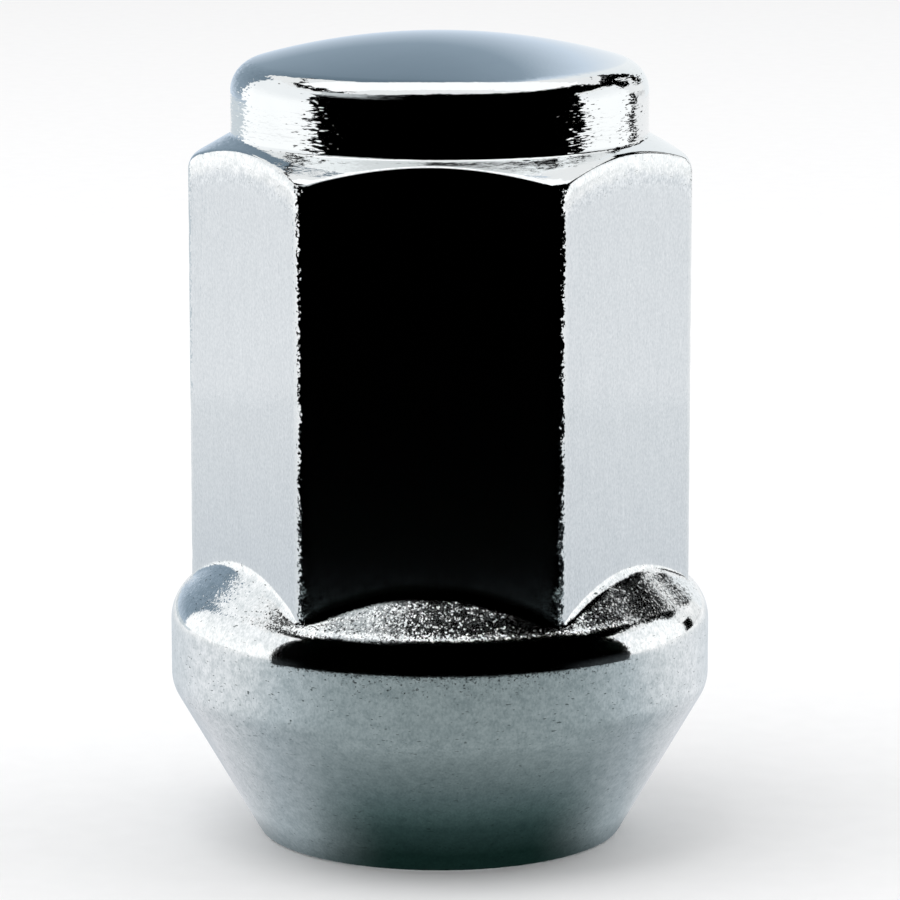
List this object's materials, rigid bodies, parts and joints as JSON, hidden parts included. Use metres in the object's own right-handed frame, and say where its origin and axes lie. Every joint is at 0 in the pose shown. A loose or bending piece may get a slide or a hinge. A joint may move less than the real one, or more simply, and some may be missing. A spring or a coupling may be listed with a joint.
{
  "type": "cap nut",
  "caption": "Closed-end hexagon wheel nut with a low domed cap, a round bulge under the flats and a conical seat at the open, threaded end.",
  "frame": {"origin": "centre of the nut's small end, on the plane that it stands on", "axes": "+Z along the thread's axis, from the open small end to the domed cap; flats face +Y and -Y"},
  "size_m": [0.0236, 0.0236, 0.035],
  "materials": {
    "chrome_plate": "bright chrome plate over forged and turned steel, fine brush marks and pits showing through"
  },
  "bodies": {
    "root": {"cap_nut": "chrome_plate"}
  },
  "joints": []
}
